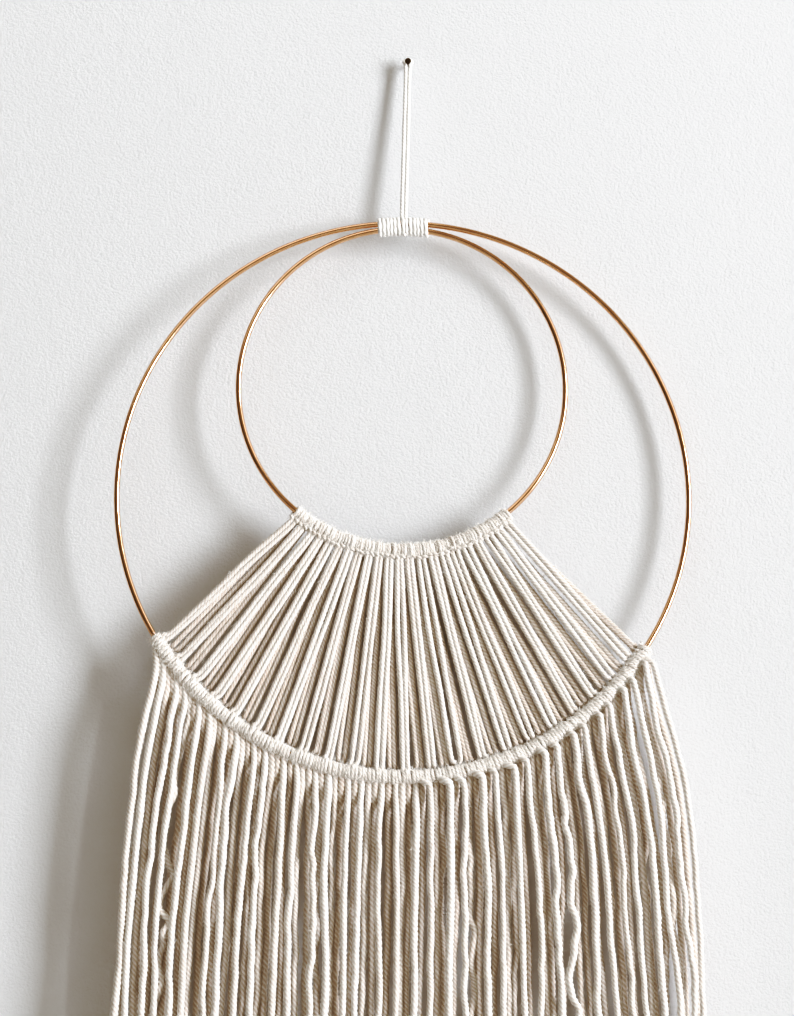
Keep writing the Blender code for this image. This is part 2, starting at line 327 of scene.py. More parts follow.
def framesAlong(path, guide=None):
    # two directions square to the path, which turn as little as they can or follow a guide
    along = unit(np.gradient(path, axis=0))
    side = np.zeros_like(path)
    current = np.array([1.0, 0.0, 0.0]) if guide is None else guide[0]
    for i, direction in enumerate(along):
        if guide is not None:
            current = guide[i]
        current = current - direction * np.dot(current, direction)
        current = current / np.linalg.norm(current)
        side[i] = current
    return along, side, np.cross(along, side)


def slowNoise(rng, count, step, wave):
    # a smooth random line of about -1 to 1 with bends roughly a wave apart
    knots = rng.normal(0, 0.5, max(4, int(count * step / wave) + 4))
    at = np.arange(count) * step / wave
    whole = at.astype(int)
    part = at - whole
    ease = part * part * (3 - 2 * part)
    return knots[whole] * (1 - ease) + knots[whole + 1] * ease


# What all the yarn shares. Lengths are in mm, and the rest are shares of the fibre or strand.
spun = {
    "layWave": 18,  # the twist loosens and tightens over this length
    "swellWave": 12,
    "pinchedTo": 0.8,  # of its width, where a knot presses on it
    "placeSpread": 500,  # keeps the fibre pattern of one strand away from the next one's
    "fuzzFoot": 0.88,  # a loose fibre leaves from this much of the strand's radius
    "fuzzAstray": 0.35,
    "fuzzLie": (0.5, 0.6),  # how far its two halves lie along the strand
    "fuzzTipOut": (-0.2, 0.6),
    "fuzzTurned": 0.3,
}


# Strands as one mesh: each is a tube with one ridge for each ply, and the ridges wind round it
class YarnBatch:
    def __init__(self, build, seed):
        self.build = build
        self.rng = np.random.default_rng(seed)
        self.points, self.faces, self.places, self.tones, self.count = [], [], [], [], 0

    def add(self, points, faces, places, tones):
        self.points.append(points)
        self.faces.extend([[self.count + corner for corner in face] for face in faces])
        self.places.append(places)
        self.tones.append(tones)
        self.count += len(points)

    def strand(self, path, wide, deep=None, guide=None, pinched=0, paintedBackShade=0.0):
        # pinched is the length at both ends over which a knot presses the strand thinner
        # the last argument paints shade into the colour of strands at the back: 0 in front, 1 at the back
        build, rng = self.build, self.rng
        deep = wide if deep is None else deep
        sides, plies = build["sides"], build["plies"]
        along, side, up = framesAlong(path, guide)
        rings = len(path)
        step = np.linalg.norm(path[1] - path[0])
        lay = build["lay"] * (1 + build["layUneven"] * slowNoise(rng, rings, step, spun["layWave"]))
        turn = -np.cumsum(math.tau * step / lay) + rng.uniform(0, math.tau)
        swell = 1 + build["uneven"] * slowNoise(rng, rings, step, spun["swellWave"])
        if pinched:
            fromEnd = np.minimum(np.arange(rings), np.arange(rings)[::-1]) * step
            swell *= between(spun["pinchedTo"], 1, np.minimum(1, fromEnd / pinched))
        index = np.arange(sides)
        lobe = np.sqrt(np.abs(np.sin(math.pi * index * plies / sides)))
        radius = build["groove"] + (1 - build["groove"]) * lobe
        angle = math.tau * index / sides + turn[:, None]
        across = np.cos(angle) * radius * swell[:, None] * wide / 2
        ahead = np.sin(angle) * radius * swell[:, None] * deep / 2
        points = path[:, None] + across[..., None] * side[:, None] + ahead[..., None] * up[:, None]
        distance = np.repeat(np.arange(rings) * step, sides)
        flat = np.tile(math.tau * index / sides, rings)
        tone = rng.uniform()
        places = np.stack([distance, np.cos(flat) * wide / 2, np.sin(flat) * wide / 2], 1)
        places += rng.uniform(0, spun["placeSpread"], 3)
        # the lobe also darkens the grooves as painted shade, and the last column paints shade onto strands
        # at the back
        tones = np.stack([np.tile(lobe, rings), np.full(len(flat), tone), np.full(len(flat), paintedBackShade)], 1)
        ring = np.arange(rings - 1)[:, None] * sides
        first, second = ring + index, ring + (index + 1) % sides
        walls = np.stack([first, second, second + sides, first + sides], 2).reshape(-1, 4)
        ends = [index[::-1].tolist(), ((rings - 1) * sides + index).tolist()]
        self.add(points.reshape(-1, 3), walls.tolist() + ends, places, tones)
        self.fuzz(path, along, side, up, (wide + deep) / 4, places[::sides], (1.0, tone, paintedBackShade))

    def fuzz(self, path, along, side, up, radius, places, tone):
        # loose fibres that leave the surface and lie back along the strand
        build, rng = self.build, self.rng
        length = np.linalg.norm(np.diff(path, axis=0), axis=1).sum()
        many = rng.poisson(length * build["fuzzPerMm"])
        if not many:
            return
        at = rng.integers(1, len(path) - 1, many)
        angle = rng.uniform(0, math.tau, many)[:, None]
        out = np.cos(angle) * side[at] + np.sin(angle) * up[at]
        lie = along[at] * rng.choice([-1, 1], many)[:, None]
        lie = lie + rng.normal(0, spun["fuzzAstray"], (many, 3))
        half = rng.uniform(*build["fuzzLong"], many)[:, None] / 2
        nearLie, farLie = spun["fuzzLie"]
        foot = path[at] + out * radius * spun["fuzzFoot"]
        middle = foot + (out * rng.uniform(*build["fuzzOut"], many)[:, None] + lie * nearLie) * half
        tip = middle + (out * rng.uniform(*spun["fuzzTipOut"], many)[:, None] + lie * farLie) * half
        across = unit(np.cross(lie, out) + spun["fuzzTurned"] * out) * build["fuzzWide"] / 2
        corners = np.stack([foot - across, foot + across, middle + across, middle - across, tip], 1)
        first = np.arange(many)[:, None] * 5
        faces = (first + [0, 1, 2, 3]).tolist() + (first + [3, 2, 4]).tolist()
        tones = np.tile(tone, (5 * many, 1))
        self.add(corners.reshape(-1, 3), faces, np.repeat(places[at], 5, axis=0), tones)

    def piece(self, name, material, node, slot):
        places, tones = np.vstack(self.places), np.vstack(self.tones)
        mesh = meshFrom(name, np.vstack(self.points), self.faces, yarnPlace=places, yarnTone=tones)
        addPiece(name, mesh, material, node)
        print(f"{name}: {sum(len(face) - 2 for face in self.faces)} triangles")


# Hoops: their places come from the frame. Both lean back by as much as in the part, and the small one
# is pulled a little taller than it is wide.
hoopBuild = {
    "wire": 3.0,
    "lean": math.radians(1.7),
    "steps": 288,
    "sides": 20,
    # where yarn covers the hoops, in degrees from straight down, growing to the right
    "knotsFrom": -39.5,
    "knotsTo": 39.5,
    "knotDrift": 0.05,  # the knots sit a little closer together left of the middle
    "hitchesFrom": -58.3,
    "hitchesTo": 57.7,
    "fringeFrom": -54.5,
    "fringeTo": 56.5,
}
wire = hoopBuild["wire"]


def hoopFrom(node):
    low, high = [Vector(corner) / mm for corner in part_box(node)]
    size = high - low
    tall = size.z / size.x / math.cos(hoopBuild["lean"])
    turned = Matrix.Rotation(-hoopBuild["lean"], 4, "X") @ Matrix.Diagonal((1, 1, tall, 1))
    matrix = Matrix.Translation((low + high) / 2) @ turned
    return {"matrix": np.array(matrix), "radius": size.x / 2 - wire / 2}


largeHoop = hoopFrom("large_hoop")
smallHoop = hoopFrom("small_hoop")


def onHoop(hoop, angle, out=0.0, front=0.0, along=0.0):
    # a point beside the wire: out from the hoop's centre, front towards the room, along the wire
    radius = hoop["radius"] + out
    angle = angle + along / hoop["radius"]
    flat = np.array([radius * math.sin(angle), -front, -radius * math.cos(angle), 1])
    return (hoop["matrix"] @ flat)[:3]


def wireTangent(hoop, angle):
    return hoop["matrix"][:3, :3] @ np.array([math.cos(angle), 0, math.sin(angle)])


def knotAngle(share):
    crowded = share - hoopBuild["knotDrift"] * math.sin(math.pi * share) ** 2 * share
    return math.radians(between(hoopBuild["knotsFrom"], hoopBuild["knotsTo"], crowded))


def hitchAngle(share):
    return math.radians(between(hoopBuild["hitchesFrom"], hoopBuild["hitchesTo"], share))


def fringeAngle(share):
    return math.radians(between(hoopBuild["fringeFrom"], hoopBuild["fringeTo"], share))


def wireRing(node, hoop):
    steps, sides = hoopBuild["steps"], hoopBuild["sides"]
    turn = np.arange(steps) * math.tau / steps
    around = np.arange(sides) * math.tau / sides
    turn, around = [grid.ravel() for grid in np.meshgrid(turn, around, indexing="ij")]
    across, ahead = np.cos(around) * wire / 2, np.sin(around) * wire / 2
    radius = hoop["radius"] + across
    flat = np.stack([radius * np.sin(turn), ahead, -radius * np.cos(turn), np.ones(len(turn))], 1)
    points = (flat @ hoop["matrix"].T)[:, :3]
    row = np.arange(steps)[:, None] * sides
    column = np.arange(sides)
    after = (row + sides) % len(points)
    beside = (column + 1) % sides
    faces = np.stack([row + column, after + column, after + beside, row + beside], 2).reshape(-1, 4)
    # the length round the hoop jumps at its top, where the binding hides it
    length = ((turn + math.pi) % math.tau) * hoop["radius"]
    places = np.stack([length, across, ahead], 1)
    name = f"{node}_wire"
    addPiece(name, meshFrom(name, points, faces.tolist(), wirePlace=places), gold, node)


wireRing("large_hoop", largeHoop)
wireRing("small_hoop", smallHoop)
print("hoops done")


# Web: pairs of strands from the knots on the small hoop to the hitches on the large one
webBuild = {
    "strands": 88,
    "wide": 3.2,
    "wideUneven": 0.04,
    "plies": 4,
    "sides": 8,
    "step": 1.1,
    "lay": 9.0,
    "layUneven": 0.25,
    "groove": 0.76,
    "uneven": 0.08,
    "fuzzPerMm": 2.6,
    "fuzzLong": (0.8, 2.6),
    "fuzzOut": (0.4, 1.1),
    "fuzzWide": 0.2,
    "wander": 0.5,  # how far a strand strays from its even place
    "pairLean": 0.3,  # the two strands of a pair lean together
    "pinched": 14,  # length at each end that the knots and hitches press thinner
    "goOverUntil": 4,  # degrees: left of this the front strands run straight into the hitches' top
    # routes, as points out from the wire's centre and to the front of it
    "belowKnot": ((1.8, 1.0), (4.6, 1.6), (8.5, 1.6)),
    "straysAt": 0.35,  # shares of the way down
    "evenAt": 0.67,
    "aboveHitch": (-9.0, 1.1),
    "overHitch": ((-5.2, 1.6), (-3.3, 1.6), (-1.6, 1.0)),
    "behindHitch": ((-5.9, -0.4), (-4.9, -1.8), (-4.3, -3.6)),
    "seed": 21,
}


def strandsGoOver(angle):
    # whether the front strands run straight into the top of the hitches, or end above and behind them
    return angle < math.radians(webBuild["goOverUntil"])


def webPath(knot, hitch, front, rng):
    build = webBuild
    start = knotAngle((2 * knot + 1) / build["strands"])
    end = hitchAngle((hitch + 0.5) / build["strands"])
    lean = build["pairLean"] if hitch % 2 == 0 else -build["pairLean"]
    wander = rng.normal(0, build["wander"], 3)
    points = [
        onHoop(smallHoop, start, out, ahead * front, lean + stray)
        for (out, ahead), stray in zip(build["belowKnot"], (0, 0, wander[0] / 2))
    ]
    out, ahead = build["aboveHitch"]
    above = onHoop(largeHoop, end, out, ahead * front, lean + wander[1])
    sideways = wireTangent(largeHoop, end) * wander[2]
    below = points[-1]
    points += [between(below, above, build["straysAt"]) + sideways]
    points += [between(below, above, build["evenAt"]), above]
    if front > 0 and strandsGoOver(end):
        points += [onHoop(largeHoop, end, out, ahead, lean) for out, ahead in build["overHitch"]]
    else:
        points += [onHoop(largeHoop, end, out, front + ahead, lean) for out, ahead in build["behindHitch"]]
    return smoothPath(points, build["step"])


def buildWeb():
    build = webBuild
    rng = np.random.default_rng(build["seed"])
    for name, front in (("web_front", 1), ("web_back", -1)):
        batch = YarnBatch(build, build["seed"] + front)
        # hitches come in fours: two for a pair of strands in front, then two for a pair behind
        for pair in range(build["strands"] // 4):
            for side in (0, 1):
                hitch = 4 * pair + side + (0 if front > 0 else 2)
                path = webPath(2 * pair + side, hitch, front, rng)
                wide = build["wide"] * (1 + rng.normal(0, build["wideUneven"]))
                # the pairs behind get painted shade in their colour
                batch.strand(path, wide, pinched=build["pinched"], paintedBackShade=0.5 - 0.5 * front)
        batch.piece(name, yarn, "knotted_web", "ivory_yarn")


buildWeb()

# Knots on the small hoop: each folded strand has two legs over the wire, pulled down by its weight,
# and a short bar across the foot of their front
knotBuild = dict(
    webBuild,
    step=1.0,
    lay=6.5,
    fuzzPerMm=5.0,
    fuzzOut=(0.5, 1.4),
    uneven=0.15,
    # a leg from behind the wire over its top and down: out from its centre, and to the front
    leg=(
        (3.8, -1.9),
        (1.6, -2.4),
        (-0.8, -2.1),
        (-2.0, -1.0),
        (-2.1, 0.7),
        (-1.1, 2.1),
        (1.2, 2.7),
        (2.8, 2.5),
        (4.2, 1.5),
    ),
    legWide=1.6,  # of the space that it has, so that no wire shows between legs
    legDeep=2.0,
    sizeUneven=0.09,
    slant=0.35,
    slantUneven=0.12,
    shiftUneven=0.12,
    # the bar: out, to the front, and along the wire
    bar=((3.6, 1.0, -1.2), (3.8, 2.5, -0.7), (4.2, 3.0, 0.2), (4.6, 2.3, 1.0), (4.8, 0.9, 1.3)),
    barMiddle=4.2,
    barStep=0.7,
    barWide=1.9,
    barDeep=1.7,
    barLift=0.3,
    barTwist=0.6,
    seed=31,
)


def buildKnots():
    build = knotBuild
    rng = np.random.default_rng(build["seed"])
    batch = YarnBatch(build, build["seed"])
    strands = build["strands"]
    pitch = smallHoop["radius"] * (knotAngle(1) - knotAngle(0)) / strands
    for loop in range(strands):
        angle = knotAngle((loop + 0.5) / strands)
        size = 1 + rng.normal(0, build["sizeUneven"])
        slant = build["slant"] + rng.normal(0, build["slantUneven"])
        shift = rng.normal(0, build["shiftUneven"])
        points = [
            onHoop(smallHoop, angle, out * size, front * size, shift + slant * front)
            for out, front in build["leg"]
        ]
        path = smoothPath(points, build["step"])
        guide = np.tile(wireTangent(smallHoop, angle), (len(path), 1))
        batch.strand(path, pitch * build["legWide"], build["legDeep"], guide)
    middle = build["barMiddle"]
    for knot in range(strands // 2):
        angle = knotAngle((2 * knot + 1) / strands)
        lift = rng.normal(0, build["barLift"])
        twist = rng.normal(1, build["barTwist"])
        points = [
            onHoop(smallHoop, angle, middle + (out - middle) * twist + lift, front, along)
            for out, front, along in build["bar"]
        ]
        batch.strand(smoothPath(points, build["barStep"]), build["barWide"], build["barDeep"])
    batch.piece("hoop_knots", yarn, "knotted_web", "ivory_yarn")


buildKnots()

# Hitches on the large hoop: two turns of yarn for each strand, pushed tight together. They bulge
# inwards where a pair of front strands runs into them.
hitchBuild = dict(
    webBuild,
    step=1.25,
    lay=6.5,
    fuzzPerMm=5.5,
    fuzzLong=(0.8, 2.8),
    fuzzOut=(0.5, 1.4),
    uneven=0.15,
    perTurn=14,
    turnWide=1.5,  # of the space that a turn has
    turnDeep=2.1,
    size=2.95,
    sizeUneven=0.2,
    leanUneven=0.45,
    bulge=0.9,
    bulgeLong=2.4,
    bulgeAhead=0.4,
    bulgeAt=0.5,  # radians round the wire from its inner side towards the front
    seed=41,
)


def hitchBulge(angle):
    pairs = webBuild["strands"] // 4
    centre = [hitchAngle((4 * pair + 1) / webBuild["strands"]) for pair in range(pairs)]
    nearest = min(abs(angle - there) for there in centre) * largeHoop["radius"]
    across = max(0, 1 - nearest / hitchBuild["bulgeLong"])
    return hitchBuild["bulge"] * across if strandsGoOver(angle) else 0


def buildHitches():
    build = hitchBuild
    rng = np.random.default_rng(build["seed"])
    batch = YarnBatch(build, build["seed"])
    turns = 2 * build["strands"]
    pitch = largeHoop["radius"] * (hitchAngle(1) - hitchAngle(0)) / turns
    sizes = build["size"] + rng.normal(0, build["sizeUneven"], turns + 2)
    leans = rng.normal(0, build["leanUneven"], turns + 2)
    points, guide = [], []
    for i in range(turns * build["perTurn"] + 1):
        turn = i / build["perTurn"]
        winding = math.tau * turn
        whole, part = int(turn), turn - int(turn)
        size = between(sizes[whole], sizes[whole + 1], part)
        lean = between(leans[whole], leans[whole + 1], part)
        angle = hitchAngle(min(1, turn / turns))
        bulge = hitchBulge(angle) * max(0, math.cos(winding - build["bulgeAt"]))
        out = -size * math.cos(winding) - bulge
        front = size * math.sin(winding) + build["bulgeAhead"] * bulge
        points.append(onHoop(largeHoop, angle, out, front, lean * math.sin(winding)))
        guide.append(wireTangent(largeHoop, angle))
    batch.strand(np.array(points), pitch * build["turnWide"], build["turnDeep"], np.array(guide))
    batch.piece("hoop_hitches", yarn, "knotted_web", "ivory_yarn")


buildHitches()
print("web, knots and hitches done")

# The part's bar of hitches and the strip that its fringe hangs from
hitchBar = {"wide": 7.0, "corner": math.radians(25), "stripThick": 2.2}
flatBelowBar = hitchBar["wide"] / 2 * math.cos(hitchBar["corner"])

# Fringe: the routes are those of the part, with the finer waves that relaxed yarn has
fringeBuild = {
    "strands": 88,
    "wide": 3.95,
    "wideUneven": 0.08,
    "plies": 4,
    "sides": 8,
    "step": 1.15,
    "lay": 10.0,
    "layUneven": 0.22,
    "groove": 0.75,
    "uneven": 0.1,
    "fuzzPerMm": 1.3,
    "fuzzLong": (0.8, 3.0),
    "fuzzOut": (0.4, 1.1),
    "fuzzWide": 0.2,
    "seed": 51,
    "pieces": 5,
    # the part's routes
    "stripOut": flatBelowBar + gap + hitchBar["stripThick"] / 2,  # from the wire's centre
    "startOut": 2.6,
    "startDown": 3.5,
    "endZ": -698.0,
    "cutUneven": 3.0,
    "points": 7,
    "routeSeed": 11,
    "spacing": 3.7,
    "spacingPasses": 80,
    "layerDepth": 4.3,
    "layers": "FBFMB",  # front, back or middle for each strand in turn
    "swayWide": 0.9,
    "swayDeep": 0.45,
    "swayTurns": (1.2, 3.2),
    "drift": 1.2,
    "driftWaves": 3,
    "driftTurns": (3, 9),
    "edgePower": 1.7,
    "spreadBelow": (0, 28, 105, 160, 190, 370),
    "spreadLeft": (0, 6, 14, 16.5, 17.5, 18),
    "spreadRight": (0, 12, 19, 25, 24, 22),
    # the way from the hitches to the routes
    "topFrom": -0.85,  # sines of the angles between which the strands leave the hoop
    "topTo": 0.845,
    "underTop": (0.2, -0.8),  # out from the wire's centre and to the front, and so are the next two
    "archFoot": (1.4, 1.0),
    "archOut": (3.5, 2.8),
    "archAlong": 1.0,
    "archFirst": (0.6, -1.0, -0.7),  # share of the way across, then mm in y and z
    "archLast": (1.0, -1.3, -3.4),
    "archBack": 4.2,  # the front strands come out this far left of where they hang
    "archBackRight": 3.4,  # and farther on the right of the hoop
    "archUneven": 0.5,
    "layerStart": 3.6,
    "hangShare": 0.3,
    # the waves of relaxed yarn
    "freeAfter": 25,
    "restless": -0.2,
    "kinkWide": 0.75,
    "kinkDeep": 0.7,
    "kinkLong": 14,
    "kinkUneven": 0.7,
    "smallKinks": 0.35,
    "smallKinksFiner": 2.4,
    "bendWide": 1.0,
    "bendLong": 55,
}


def layerOf(index):
    layers = fringeBuild["layers"]
    return {"F": 1, "M": 0, "B": -1}[layers[index % len(layers)]]


def fringeRoutes():
    # the same draws of the same seed as the part's own fringe, so that each strand hangs in its solid
    build = fringeBuild
    strands = build["strands"]
    rng = np.random.default_rng(build["routeSeed"])
    down = np.linspace(0, 1, build["points"])
    routes = np.zeros((strands, build["points"], 3))
    driftTurns = rng.uniform(*build["driftTurns"], build["driftWaves"])
    driftStarts = rng.uniform(0, math.tau, build["driftWaves"])
    for i in range(strands):
        share = (i + 0.5) / strands
        angle = fringeAngle(share)
        root = onHoop(largeHoop, angle, build["stripOut"] + build["startOut"])
        root[2] -= build["startDown"]
        endZ = build["endZ"] + rng.normal(0, build["cutUneven"])
        z = root[2] + (endZ - root[2]) * down
        column = build["spreadLeft"] if angle < 0 else build["spreadRight"]
        spread = np.interp(root[2] - z, build["spreadBelow"], column)
        edge = math.sin(angle) / math.sin(fringeAngle(1))
        waves = rng.uniform(*build["swayTurns"], 2)
        starts = rng.uniform(0, math.tau, 3)
        sway = np.sin(math.tau * waves[0] * down + starts[0]) - math.sin(starts[0])
        sway += 0.5 * (np.sin(math.tau * 2 * waves[1] * down + starts[1]) - math.sin(starts[1]))
        drift = sum(
            math.sin(turns * math.tau * share + start) for turns, start in zip(driftTurns, driftStarts)
        )
        routes[i, :, 0] = root[0] + spread * abs(edge) ** build["edgePower"] * np.sign(edge)
        routes[i, :, 0] += build["swayWide"] * np.sqrt(down) * sway + build["drift"] * drift * down
        routes[i, :, 1] = root[1] - layerOf(i) * build["layerDepth"]
        routes[i, :, 1] += build["swayDeep"] * np.sin(math.tau * waves[1] * down + starts[2]) * down
        routes[i, :, 2] = z
    for layer in (1, 0, -1):
        members = [i for i in range(strands) if layerOf(i) == layer]
        x = routes[members, 1:, 0]
        for _ in range(build["spacingPasses"]):
            short = np.maximum(build["spacing"] - np.diff(x, axis=0), 0) / 2
            x[:-1] -= short
            x[1:] += short
        routes[members, 1:, 0] = x
    return routes


def fringeStart(layer, route, rng):
    # From the hitches straight above to where the strand hangs free. In the middle and on the right
    # the front strands come out at the hitches' lower front edge and arch over to the right first.
    build = fringeBuild
    sine = route[0][0] / largeHoop["radius"]
    above = math.asin(max(build["topFrom"], min(build["topTo"], sine)))
    hang = between(route[0], route[1], build["hangShare"])
    if layer < 1 or strandsGoOver(above):
        top = onHoop(largeHoop, above, *build["underTop"])
        free = route[0] + np.array([0, build["layerStart"] * layer, 0])
        return [top, between(top, free, 0.5), free, hang]
    back = -build["archBack"] - build["archBackRight"] * math.sin(above)
    back += rng.normal(0, build["archUneven"])
    foot = onHoop(largeHoop, above, *build["archFoot"], back)
    out = onHoop(largeHoop, above, *build["archOut"], back + build["archAlong"])
    across = route[0][0] - out[0]
    arch = [
        out + np.array([across * share, y, z])
        for share, y, z in (build["archFirst"], build["archLast"])
    ]
    return [foot, out, *arch, hang]


def buildFringe():
    build = fringeBuild
    rng = np.random.default_rng(build["seed"])
    step = build["step"]
    paths = []
    for i, route in enumerate(fringeRoutes()):
        path = smoothPath([*fringeStart(layerOf(i), route, rng), *route[1:]], step)
        count = len(path)
        free = np.minimum(1, np.arange(count) * step / build["freeAfter"])
        restless = rng.lognormal(build["restless"], build["kinkUneven"])
        for axis, amount in ((0, build["kinkWide"]), (1, build["kinkDeep"])):
            kinks = slowNoise(rng, count, step, build["kinkLong"])
            smaller = slowNoise(rng, count, step, build["kinkLong"] / build["smallKinksFiner"])
            kinks += build["smallKinks"] * smaller
            path[:, axis] += kinks * amount * free * restless
        path[:, 0] += slowNoise(rng, count, step, build["bendLong"]) * build["bendWide"] * free
        paths.append(path)
    for number, group in enumerate(np.array_split(np.arange(build["strands"]), build["pieces"])):
        batch = YarnBatch(build, build["seed"] + number)
        for i in group:
            wide = build["wide"] * (1 + rng.normal(0, build["wideUneven"]))
            # the middle and back layers get painted shade in their colour
            batch.strand(paths[i], wide, paintedBackShade=0.5 - 0.5 * layerOf(i))
        batch.piece(f"fringe_{number + 1}", yarn, "fringe", "ivory_yarn")


buildFringe()
print("fringe done")

# Binding: turns of white yarn round both wires at the top, and a short tail below
bindingBuild = {
    "x": -1.5,
    "long": 28.5,
    "turns": 13,
    "perTurn": 16,
    "turnWide": 1.12,  # of the space that a turn has
    "turnDeep": 2.0,
    "turnsCloser": 0.93,
    "slipUneven": 0.12,
    "slipped": {5: -0.4, 6: 0.3},  # the turns that part a little, and how far each has slid
    "flatSides": 2.2,  # how soon a turn that leaves one wire reaches the other
    "tail": ((0.6, 0.0, 1.0), (0.8, -1.8, -0.6), (0.2, -2.2, -1.6)),
    "tailStep": 0.6,
    "tailWide": 1.6,
    "plies": 3,
    "sides": 9,
    "lay": 7.0,
    "layUneven": 0.1,
    "groove": 0.72,
    "uneven": 0.06,
    "fuzzPerMm": 0.5,
    "fuzzLong": (0.6, 1.8),
    "fuzzOut": (0.3, 0.9),
    "fuzzWide": 0.08,
    "seed": 61,
}


def buildBinding():
    build = bindingBuild
    rng = np.random.default_rng(build["seed"])
    batch = YarnBatch(build, build["seed"])
    low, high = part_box("top_binding")
    middleY, halfDeep = (low[1] + high[1]) / 2 / mm, (high[1] - low[1]) / 2 / mm
    apart = (wire + gap) / 2
    radius = halfDeep - build["turnDeep"] / 2
    meanRadius = (largeHoop["radius"] + smallHoop["radius"]) / 2
    middleZ = high[2] / mm - halfDeep - apart
    pitch = build["long"] / build["turns"]
    slips = rng.normal(0, build["slipUneven"], build["turns"] + 2)
    for turn, slip in build["slipped"].items():
        slips[turn] += slip
    points = []
    for i in range(build["turns"] * build["perTurn"] + 1):
        turn = i / build["perTurn"]
        winding = math.tau * turn
        whole, part = int(turn), turn - int(turn)
        slip = between(slips[whole], slips[whole + 1], part)
        x = build["x"] + pitch * (turn - build["turns"] / 2) * build["turnsCloser"] + slip
        drop = meanRadius - math.sqrt(meanRadius**2 - x**2)
        up = math.cos(winding)
        toWire = math.copysign(min(1, abs(up) * build["flatSides"]), up)
        z = middleZ - drop + radius * up + apart * toWire
        points.append([x, middleY - radius * math.sin(winding), z])
    guide = np.tile([1.0, 0.0, 0.0], (len(points), 1))
    batch.strand(np.array(points), pitch * build["turnWide"], build["turnDeep"], guide)
    foot = middleZ - apart - radius
    tail = [[build["x"] + x, middleY + y, foot + z] for x, y, z in build["tail"]]
    batch.strand(smoothPath(tail, build["tailStep"]), build["tailWide"])
    batch.piece("top_binding_yarn", whiteYarn, "top_binding", "white_yarn")


buildBinding()

# Hanging cord: white cotton of three plies, over the nail and down to the binding, pulled tight by
# the weight
cordBuild = {
    "wide": 2.25,
    "apart": 2.1,  # the two runs press against each other
    "plies": 3,
    "sides": 12,
    "step": 0.7,
    "lay": 6.5,
    "layUneven": 0.1,
    "groove": 0.78,
    "uneven": 0.05,
    "fuzzPerMm": 0.8,
    "fuzzLong": (0.6, 1.6),
    "fuzzOut": (0.3, 0.8),
    "fuzzWide": 0.06,
    "seed": 71,
    "onNail": 5.5,
    "meets": 4.5,
    "nailShank": 1.6,
    "bendPoints": 9,
    "footY": -12.0,
    "footDown": 1.0,  # how far it goes into the binding
}


def buildCord():
    build = cordBuild
    batch = YarnBatch(build, build["seed"])
    low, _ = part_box("hanging_loop")
    foot = np.array([bindingBuild["x"], build["footY"], low[2] / mm - build["footDown"]])
    bend = build["nailShank"] / 2 + gap + build["wide"] / 2
    onNail = np.array([0, -build["onNail"], 0])
    meet = onNail + (foot - onNail) * build["meets"] / -foot[2]
    apart = np.array([build["apart"] / 2, 0, 0])
    over = [
        onNail + bend * np.array([-math.cos(turn), 0, math.sin(turn)])
        for turn in np.linspace(0, math.pi, build["bendPoints"])
    ]
    left = [foot - apart, (foot + meet) / 2 - apart, meet - apart]
    right = [meet + apart, (foot + meet) / 2 + apart, foot + apart]
    batch.strand(smoothPath([*left, *over, *right], build["step"]), build["wide"])
    batch.piece("hanging_cord", whiteYarn, "hanging_loop", "white_yarn")


buildCord()
print("binding and cord done")

# Nail: a turned form with a low domed head, its edge rounded over
nailBuild = {
    "out": 10.0,
    "shank": 1.6,
    "head": 3.4,
    "dome": 0.25,
    "domeWide": 0.8,  # of the head
    # shares of the head's or the shank's radius, and mm down from the top of the head
    "rim": ((0.93, 0.375), (1.0, 0.5), (0.96, 0.85), (0.85, 1.0)),
    "neck": ((1.15, 1.05), (1.0, 1.3)),
    "sides": 40,
    "weld": 0.001,
}


def buildNail():
    build = nailBuild
    shank, head, out = build["shank"] / 2, build["head"] / 2, build["out"]
    dome = [(head * build["domeWide"] * s, out - build["dome"] * s * s) for s in (0.25, 0.5, 0.75, 1.0)]
    rim = [(head * share, out - down) for share, down in build["rim"]]
    neck = [(shank * share, out - down) for share, down in build["neck"]]
    profile = [(0, out), *dome, *rim, *neck, (shank, 0), (0, 0)]
    made = bmesh.new()
    corners = [made.verts.new((radius * mm, -along * mm, 0)) for radius, along in profile]
    edges = [made.edges.new(pair) for pair in zip(corners, corners[1:])]
    bmesh.ops.spin(
        made,
        geom=corners + edges,
        axis=(0, 1, 0),
        cent=(0, 0, 0),
        angle=math.tau,
        steps=build["sides"],
        use_merge=True,
    )
    bmesh.ops.remove_doubles(made, verts=made.verts, dist=build["weld"] * mm)
    bmesh.ops.recalc_face_normals(made, faces=made.faces)
    mesh = bpy.data.meshes.new("nail")
    made.to_mesh(mesh)
    made.free()
    addPiece("nail", mesh, blackSteel, "wall_nail")


buildNail()
print("nail done")

# Stage: a rolled wall, which can be seen through from behind, and a plain floor
stage = {
    "wallY": 0.5,
    "wallTurn": math.radians(2.05),  # the object hangs a little turned, its left side farther out
    "floorZ": -980.0,
    "wide": 6000.0,
    "high": 3600.0,
    "wall": "#dedfe1",
    "floor": "#cfcdc9",
    "stipple": 1.2,
    "stippleHigh": 0.5,
    "patch": 40.0,
    "patchShare": 0.6,
}


